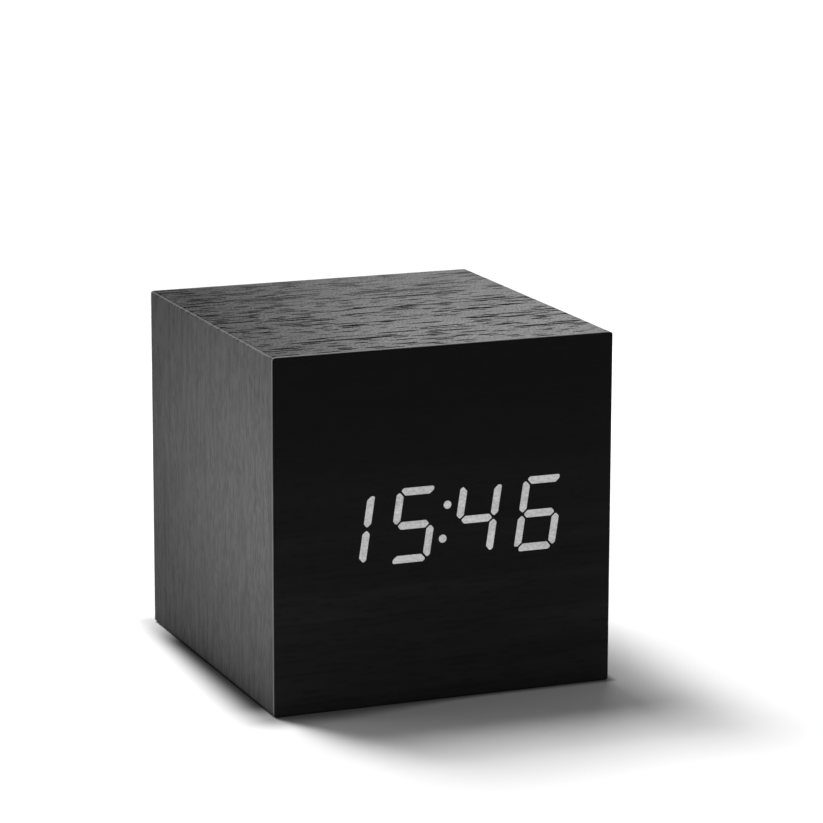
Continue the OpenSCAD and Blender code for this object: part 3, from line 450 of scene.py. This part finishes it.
# Rates of their grain, and how many times broader the slow part of a speckled grain is
BROADER = 12
TURNING_RATES = (900, 900, 5200)
BUTTON_RATE = 5000
WEAVE_RATES = (2600, 2600)
PRINT_RATES = (300, 2500, 2500)

# Lengths: paint on a button's mark, tracks of a board, band and terminal of a cell
PAINT_DEPTH = 0.03 * MM
TRACK_GRID = 1.2 * MM
TRACK_PITCH = 0.9 * MM
TRACK_WIDTH = 0.3 * MM
CELL_BAND = 14 * MM
CELL_TERMINAL = 1.6 * MM


def speckled(name, dark, pale, rate, roughness, depth):
    """Moulded or cast surface: two near tones in a fine grain, and the same grain as bump."""
    g = Graph(name)
    point = g.place()
    fine = g.grains(point, rate, 3, 0.6)
    broad = g.grains(point, rate / BROADER, 2)
    tone = g.math("MULTIPLY_ADD", fine, 0.7, g.math("MULTIPLY", broad, 0.3))
    return g.surface(Base_Color=g.mix(g.spread(tone), dark, pale), Normal=g.bump(fine, depth),
                     Roughness=g.math("MULTIPLY_ADD", broad, 0.16, roughness - 0.08))


def brushed_metal(name, dark, pale, roughness):
    """Plated metal with fine turning marks."""
    g = Graph(name)
    marks = g.noise(g.stretch(g.place(), TURNING_RATES), 3, 0.6)
    return g.surface(Base_Color=g.mix(g.spread(marks), dark, pale), Metallic=1.0,
                     Normal=g.bump(marks, 0.01 * MM),
                     Roughness=g.math("MULTIPLY_ADD", marks, 0.18, roughness - 0.09))


def marked_button(node):
    """Button cap in dark plastic, with paint on its raised mark."""
    g = Graph(node)
    point = g.place()
    face_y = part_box(node)[1].y
    fine = g.grains(point, BUTTON_RATE, 3, 0.6)
    body = g.mix(g.spread(fine), *BUTTON)
    paint = g.mix(g.between(fine, 0.25, 0.6), *PAINT)
    raised = g.math("GREATER_THAN", point[1], face_y - PAINT_DEPTH)
    return g.surface(Base_Color=g.mix(raised, body, paint), Normal=g.bump(fine, 0.015 * MM),
                     Roughness=g.math("MULTIPLY_ADD", fine, 0.2, 0.38))


def circuit_board():
    """Green solder mask over faint copper tracks."""
    g = Graph("circuit_board")
    x, _, z = g.place()
    patches = g.noise(g.vector(g.math("SNAP", x, TRACK_GRID), g.math("SNAP", z, TRACK_GRID)), 0)
    lines = g.math("PINGPONG", g.math("ADD", x, z), TRACK_PITCH)
    track = g.math("MULTIPLY", g.math("LESS_THAN", lines, TRACK_WIDTH),
                   g.math("GREATER_THAN", patches, 0.5))
    weave = g.noise(g.stretch((x, z), WEAVE_RATES), 2)
    colour = g.mix(track, g.mix(weave, *SOLDER_MASK), TRACK)
    return g.surface(Base_Color=colour, Roughness=g.math("MULTIPLY_ADD", weave, 0.15, 0.28),
                     Normal=g.bump(g.math("MULTIPLY_ADD", track, 0.6, weave), 0.02 * MM))


def cell_sleeve():
    """Printed sleeve of a cell: dark body, a band near the terminal and bare metal at the ends.

    The middle one of the three cells lies the other way round.
    """
    g = Graph("cell_sleeve")
    x, y, z = g.place()
    normal_x, _, _ = g.normal()
    low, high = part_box("aaa_cells")
    reach = (high.x - low.x) / 2
    middle = (high.x + low.x) / 2
    turned = g.math("LESS_THAN", g.math("ABSOLUTE", y), (high.y - low.y) / 6)
    way = g.math("MULTIPLY_ADD", turned, -2.0, 1.0)
    toward = g.math("MULTIPLY", g.math("SUBTRACT", x, middle), way)
    band = g.math("GREATER_THAN", toward, reach - CELL_BAND)
    bare = g.math("MAXIMUM", g.math("GREATER_THAN", g.math("ABSOLUTE", normal_x), 0.5),
                  g.math("GREATER_THAN", toward, reach - CELL_TERMINAL))
    print_grain = g.noise(g.stretch((x, y, z), PRINT_RATES), 2)
    printed = g.mix(band, g.mix(print_grain, *CELL_BODY), g.mix(print_grain, *CELL_COPPER))
    colour = g.mix(bare, printed, g.mix(print_grain, *CELL_METAL))
    return g.surface(Base_Color=colour, Normal=g.bump(print_grain, 0.01 * MM),
                     Metallic=g.math("MAXIMUM", bare, g.math("MULTIPLY", band, 0.6)),
                     Roughness=g.math("MULTIPLY_ADD", print_grain, 0.15, 0.25))


def dress_all():
    """A material for every CAD node."""
    dress(sleeve_veneer(), "veneer_wrap")
    dress(face_veneer("front_veneer", FRONT_LEAF, *FRONT_STAIN), "front_veneer")
    dress(face_veneer("rear_veneer", REAR_LEAF, *REAR_STAIN), "rear_veneer")
    dress(fibreboard(), "top_board", "bottom_board", "left_board", "right_board", "front_board",
          "rear_board")
    dress(lit_filling(), "lit_segments")
    dress(circuit_board(), "display_board", "main_board")
    dress(cell_sleeve(), "aaa_cells")
    for name in ("set_button", "up_button", "down_button"):
        dress(marked_button(name), name)
    for name, (dark, pale, rate, roughness, depth, parts) in SPECKLED.items():
        dress(speckled(name, dark, pale, rate, roughness, depth * MM), *parts)
    for name, (dark, pale, roughness, parts) in PLATED.items():
        dress(brushed_metal(name, dark, pale, roughness), *parts)


# Stage

FLOOR_REACH = 6.0
HOLE_INSET = 1.2 * MM
FLOOR_WHITE = (0.9, 0.9, 0.9)

# Painted contact shadow on the floor along the case's foot: its width at the case's left edge, and from
# the fade length to the right of that edge on; how much narrower it is at the rear; how deep it is at the
# rear and in front, against 1 beside the case
PAINTED_SHADOW_LEFT = 9 * MM
PAINTED_SHADOW_ELSEWHERE = 2 * MM
PAINTED_SHADOW_FADE = 45 * MM
PAINTED_SHADOW_REAR_WIDTH = 0.6
PAINTED_SHADOW_REAR_DEPTH = 0.35
PAINTED_SHADOW_FRONT_DEPTH = 0.72
PAINTED_SHADOW_DARK = (0.03, 0.03, 0.03)


def floor_material():
    """White floor with a painted contact shadow along the case's foot; a camera below sees through it."""
    g = Graph("floor")
    tree = g.tree
    x, y, _ = g.place()
    away_x = g.math("MAXIMUM", g.math("SUBTRACT", g.math("ABSOLUTE", x), HALF_W), 0.0)
    away_y = g.math("MAXIMUM", g.math("SUBTRACT", g.math("ABSOLUTE", y), HALF_D), 0.0)
    away = g.math("DIVIDE", g.distance(away_x, away_y),
                  g.between(y, HALF_D, -HALF_D, PAINTED_SHADOW_REAR_WIDTH, 1.0))
    width = g.between(x, -HALF_W, -HALF_W + PAINTED_SHADOW_FADE, PAINTED_SHADOW_LEFT, PAINTED_SHADOW_ELSEWHERE)
    depth = g.math("MULTIPLY", g.between(y, HALF_D, HALF_D / 2, PAINTED_SHADOW_REAR_DEPTH, 1.0),
                   g.between(y, PAINTED_SHADOW_LEFT - HALF_D, -HALF_D, 1.0, PAINTED_SHADOW_FRONT_DEPTH))
    # Painted shadow: the floor's white darkened near the case's foot
    shade = g.choose(depth, 1.0, g.between(away, 0.0, width))
    white = tree.nodes.new("ShaderNodeBsdfDiffuse")
    g.put(white.inputs["Color"], g.mix(shade, PAINTED_SHADOW_DARK, FLOOR_WHITE))
    clear = tree.nodes.new("ShaderNodeBsdfTransparent")
    geometry = tree.nodes.new("ShaderNodeNewGeometry")
    choice = tree.nodes.new("ShaderNodeMixShader")
    tree.links.new(geometry.outputs["Backfacing"], choice.inputs[0])
    tree.links.new(white.outputs[0], choice.inputs[1])
    tree.links.new(clear.outputs[0], choice.inputs[2])
    tree.links.new(choice.outputs[0], g.output.inputs["Surface"])
    return g.material


def make_floor():
    """Floor round the case's foot, open under it so that the underside can be seen from below."""
    corners = ((-1, -1), (1, -1), (1, 1), (-1, 1))
    inner = [(sx * (HALF_W - HOLE_INSET), sy * (HALF_D - HOLE_INSET), 0) for sx, sy in corners]
    outer = [(sx * FLOOR_REACH, sy * FLOOR_REACH, 0) for sx, sy in corners]
    faces = [(4 + i, 4 + (i + 1) % 4, (i + 1) % 4, i) for i in range(4)]
    mesh = bpy.data.meshes.new("floor")
    mesh.from_pydata(inner + outer, [], faces)
    mesh.materials.append(floor_material())
    floor = bpy.data.objects.new("floor", mesh)
    bpy.context.scene.collection.objects.link(floor)


def make_world():
    """White where it is seen, mirrored or looked through to, and a low level as light."""
    world = bpy.data.worlds.new("studio")
    world.use_nodes = True
    bpy.context.scene.world = world
    tree = world.node_tree
    background = tree.nodes["Background"]
    background.inputs["Color"].default_value = (1, 1, 1, 1)
    path = tree.nodes.new("ShaderNodeLightPath")
    seen = path.outputs["Is Camera Ray"]
    for name in ("Is Glossy Ray", "Is Transmission Ray"):
        either = tree.nodes.new("ShaderNodeMath")
        either.operation = "MAXIMUM"
        tree.links.new(seen, either.inputs[0])
        tree.links.new(path.outputs[name], either.inputs[1])
        seen = either.outputs[0]
    level = tree.nodes.new("ShaderNodeMapRange")
    level.inputs["To Min"].default_value = AMBIENT
    level.inputs["To Max"].default_value = 1.0
    tree.links.new(seen, level.inputs["Value"])
    tree.links.new(level.outputs[0], background.inputs["Strength"])


def direction(azimuth, elevation):
    """Unit vector toward an azimuth, counted from the front to the right, and an elevation."""
    a = math.radians(azimuth)
    e = math.radians(elevation)
    return Vector((math.sin(a) * math.cos(e), -math.cos(a) * math.cos(e), math.sin(e)))


def add_lamp(name, kind, place, power):
    """Lamp aimed at the middle of the case, and not itself seen by the camera."""
    light = bpy.data.lights.new(name, kind)
    light.energy = power
    lamp = bpy.data.objects.new(name, light)
    lamp.location = place
    aim = Vector((0, 0, CASE_H / 2)) - Vector(place)
    lamp.rotation_euler = aim.to_track_quat("-Z", "Y").to_euler()
    lamp.visible_camera = False
    bpy.context.scene.collection.objects.link(lamp)
    return light


def make_lights():
    """Two high lights behind the clock, one at its left, and small near ones, one of them below."""
    for name, (azimuth, elevation, spread, power) in FAR_LIGHTS.items():
        add_lamp(name, "SUN", direction(azimuth, elevation), power).angle = math.radians(spread)
    for name, (place, width, power) in NEAR_LIGHTS.items():
        add_lamp(name, "AREA", place, power).size = width


def make_camera():
    """Camera that frames the case as the photograph does."""
    camera = bpy.data.cameras.new("camera")
    camera.sensor_width = SENSOR
    camera.lens = SENSOR * FOCAL_PX / IMAGE_PX
    camera.clip_start = CAMERA_NEAREST
    holder = bpy.data.objects.new("camera", camera)
    back = direction(CAMERA_AZIMUTH, CAMERA_ELEVATION)
    turn = back.to_track_quat("Z", "Y").to_matrix().to_4x4()
    roll = Matrix.Rotation(math.radians(CAMERA_ROLL), 4, "Z")
    holder.matrix_world = Matrix.Translation(CAMERA_AIM + back * CAMERA_DISTANCE) @ turn @ roll
    bpy.context.scene.collection.objects.link(holder)
    bpy.context.scene.camera = holder


make_camera()
dress_all()
make_floor()
make_world()
make_lights()
bpy.context.scene.view_settings.view_transform = "Standard"
